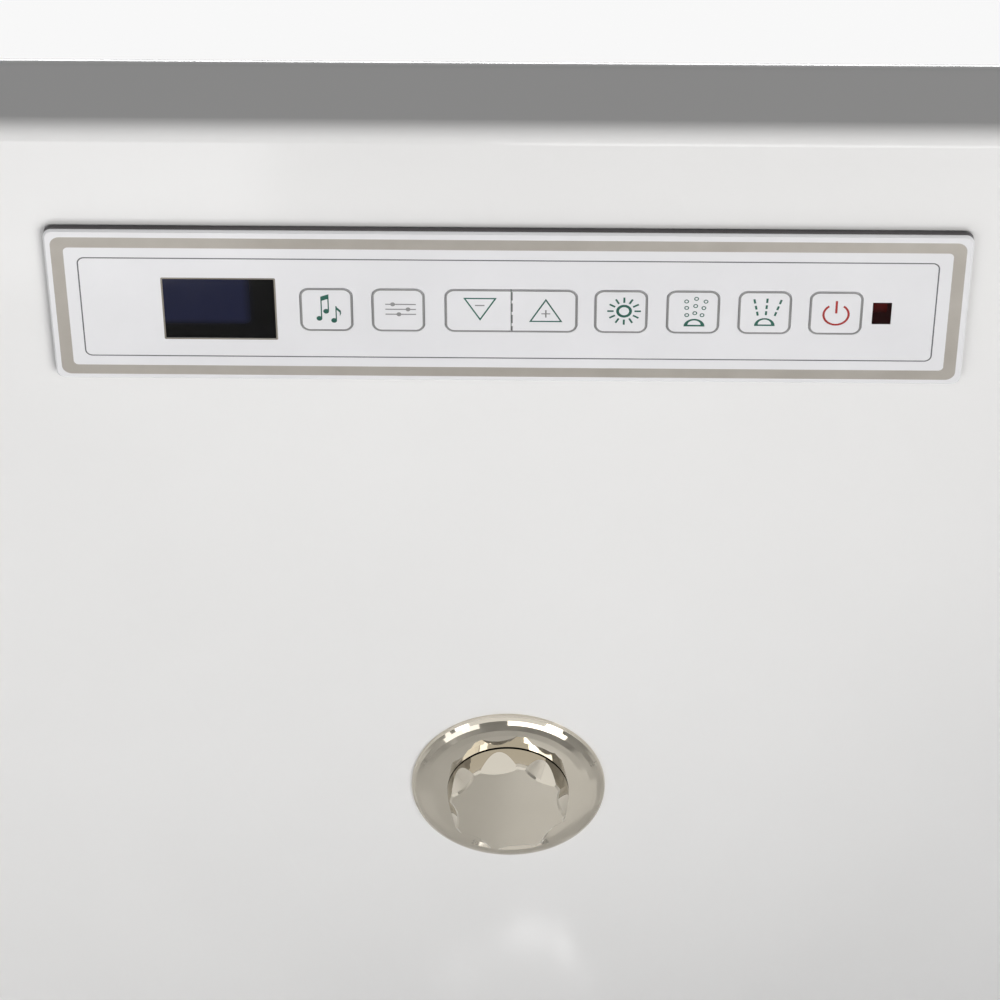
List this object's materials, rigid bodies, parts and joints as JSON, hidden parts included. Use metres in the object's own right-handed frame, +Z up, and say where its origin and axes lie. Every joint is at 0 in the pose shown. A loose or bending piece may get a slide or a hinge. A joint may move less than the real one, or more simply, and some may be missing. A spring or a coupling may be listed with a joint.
{
  "type": "corner jetted bathtub",
  "caption": "Corner jetted bathtub with a keypad panel, a fluted overflow knob, swivelling jets, bubble jets, pump and blower on a steel frame behind a curved apron.",
  "frame": {"origin": "on the floor, in the middle of the tub's plan box", "axes": "+Z up, the curved front apron faces -Y, the room corner is towards +Y, X runs across"},
  "size_m": [1.8426, 1.3488, 0.6655],
  "materials": {
    "acrylic": "polished white acrylic",
    "apron_acrylic": "polished white acrylic",
    "board": "pressed board sealed with resin",
    "frame_steel": "galvanised",
    "zinc": "zinc plated",
    "pad_rubber": "moulded",
    "face_plate": "satin white film",
    "dark_plastic": "moulded",
    "circuit_board": "lacquered",
    "display_glass": "tinted window",
    "infrared_glass": "tinted red window",
    "chrome": "polished",
    "waste_plastic": "moulded",
    "cable_jacket": "extruded jacket",
    "pipe_plastic": "extruded pipe",
    "pump_plastic": "moulded",
    "motor_metal": "cast and ribbed",
    "lens": "clear",
    "speaker_grille": "perforated",
    "pillow": "soft white skin"
  },
  "bodies": {
    "tub": {"tub_shell": "acrylic", "front_apron": "apron_acrylic", "base_board": "board", "frame_rails": "frame_steel", "frame_posts": "frame_steel", "panel_clamps": "frame_steel", "equipment_trays": "frame_steel", "foot_studs": "zinc", "foot_pads": "pad_rubber", "panel_gasket": "pad_rubber", "waste_gaskets": "pad_rubber", "panel_faceplate": "face_plate", "panel_housing": "dark_plastic", "panel_circuit_board": "circuit_board", "display_window": "display_glass", "infrared_window": "infrared_glass", "overflow_flange": "chrome", "drain_flange": "chrome", "jet_flanges": "chrome", "air_regulator": "chrome", "suction_cover": "chrome", "bubble_jets": "chrome", "lamp_housing": "chrome", "overflow_body": "waste_plastic", "drain_body": "waste_plastic", "drain_trap": "waste_plastic", "overflow_pipe": "waste_plastic", "drain_cable": "cable_jacket", "pressure_pipes": "pipe_plastic", "suction_pipe": "pipe_plastic", "suction_body": "pipe_plastic", "jet_bodies": "pipe_plastic", "air_pipe": "pipe_plastic", "air_hose": "pipe_plastic", "pump_volute": "pump_plastic", "blower_housing": "pump_plastic", "control_box": "pump_plastic", "pump_motor": "motor_metal", "lamp_lens": "lens", "speakers": "speaker_grille", "head_pillows": "pillow"},
    "overflow_knob": {"overflow_knob": "chrome"},
    "drain_plug": {"drain_plug": "chrome"},
    "air_knob": {"air_knob": "chrome"},
    "pump_rotor": {"pump_rotor": "pump_plastic"},
    "blower_fan": {"blower_fan": "pump_plastic"},
    "key_music": {"key_music": "face_plate"},
    "key_set": {"key_set": "face_plate"},
    "key_down": {"key_down": "face_plate"},
    "key_up": {"key_up": "face_plate"},
    "key_light": {"key_light": "face_plate"},
    "key_bubbles": {"key_bubbles": "face_plate"},
    "key_jets": {"key_jets": "face_plate"},
    "key_power": {"key_power": "face_plate"},
    "jet_nozzle_1": {"jet_nozzle_1": "chrome"},
    "jet_nozzle_2": {"jet_nozzle_2": "chrome"},
    "jet_nozzle_3": {"jet_nozzle_3": "chrome"},
    "jet_nozzle_4": {"jet_nozzle_4": "chrome"},
    "jet_nozzle_5": {"jet_nozzle_5": "chrome"},
    "jet_nozzle_6": {"jet_nozzle_6": "chrome"}
  },
  "joints": [
    {"name": "knob_turn", "type": "hinge", "parent": "tub", "child": "overflow_knob", "pos_m": [0, -0.6074, 0.36409], "axis": [0, 0.9962, 0.0872], "range_deg": [0, 90]},
    {"name": "plug_lift", "type": "slide", "parent": "tub", "child": "drain_plug", "axis": [0, 0, 1], "range_m": [0, 0.01]},
    {"name": "air_turn", "type": "hinge", "parent": "tub", "child": "air_knob", "pos_m": [0.34415, 0.2593, 0.65], "axis": [0, 0, 1], "range_deg": [0, 180]},
    {"name": "pump_spin", "type": "hinge", "parent": "tub", "child": "pump_rotor", "pos_m": [0.6666, -0.24538, 0.115], "axis": [1, 0, 0], "continuous": true},
    {"name": "blower_spin", "type": "hinge", "parent": "tub", "child": "blower_fan", "pos_m": [-0.6666, -0.265, 0.115], "axis": [0, 0, 1], "continuous": true},
    {"name": "press_music", "type": "slide", "parent": "tub", "child": "key_music", "axis": [0, -0.9962, -0.0872], "range_m": [0, 0.0005], "stiffness_N_per_m": 600},
    {"name": "press_set", "type": "slide", "parent": "tub", "child": "key_set", "axis": [0, -0.9962, -0.0872], "range_m": [0, 0.0005], "stiffness_N_per_m": 600},
    {"name": "press_down", "type": "slide", "parent": "tub", "child": "key_down", "axis": [0, -0.9962, -0.0872], "range_m": [0, 0.0005], "stiffness_N_per_m": 600},
    {"name": "press_up", "type": "slide", "parent": "tub", "child": "key_up", "axis": [0, -0.9962, -0.0872], "range_m": [0, 0.0005], "stiffness_N_per_m": 600},
    {"name": "press_light", "type": "slide", "parent": "tub", "child": "key_light", "axis": [0, -0.9962, -0.0872], "range_m": [0, 0.0005], "stiffness_N_per_m": 600},
    {"name": "press_bubbles", "type": "slide", "parent": "tub", "child": "key_bubbles", "axis": [0, -0.9962, -0.0872], "range_m": [0, 0.0005], "stiffness_N_per_m": 600},
    {"name": "press_jets", "type": "slide", "parent": "tub", "child": "key_jets", "axis": [0, -0.9962, -0.0872], "range_m": [0, 0.0005], "stiffness_N_per_m": 600},
    {"name": "press_power", "type": "slide", "parent": "tub", "child": "key_power", "axis": [0, -0.9962, -0.0872], "range_m": [0, 0.0005], "stiffness_N_per_m": 600},
    {"name": "aim_1", "type": "hinge", "parent": "tub", "child": "jet_nozzle_1", "pos_m": [0.27278, 0.12287, 0.39257], "axis": [0.7071, -0.7071, 0], "range_deg": [-15, 15]},
    {"name": "aim_2", "type": "hinge", "parent": "tub", "child": "jet_nozzle_2", "pos_m": [0.38592, 0.00974, 0.39257], "axis": [0.7071, -0.7071, 0], "range_deg": [-15, 15]},
    {"name": "aim_3", "type": "hinge", "parent": "tub", "child": "jet_nozzle_3", "pos_m": [0.46556, -0.42879, 0.40428], "axis": [-0.7071, -0.7071, 0], "range_deg": [-15, 15]},
    {"name": "aim_4", "type": "hinge", "parent": "tub", "child": "jet_nozzle_4", "pos_m": [-0.27278, 0.12287, 0.39257], "axis": [0.7071, 0.7071, 0], "range_deg": [-15, 15]},
    {"name": "aim_5", "type": "hinge", "parent": "tub", "child": "jet_nozzle_5", "pos_m": [-0.38592, 0.00974, 0.39257], "axis": [0.7071, 0.7071, 0], "range_deg": [-15, 15]},
    {"name": "aim_6", "type": "hinge", "parent": "tub", "child": "jet_nozzle_6", "pos_m": [-0.46556, -0.42879, 0.40428], "axis": [-0.7071, 0.7071, 0], "range_deg": [-15, 15]}
  ],
  "couplings": [
    {"joint": "plug_lift", "follows": "knob_turn", "m_per_rad": 0.0063662}
  ]
}
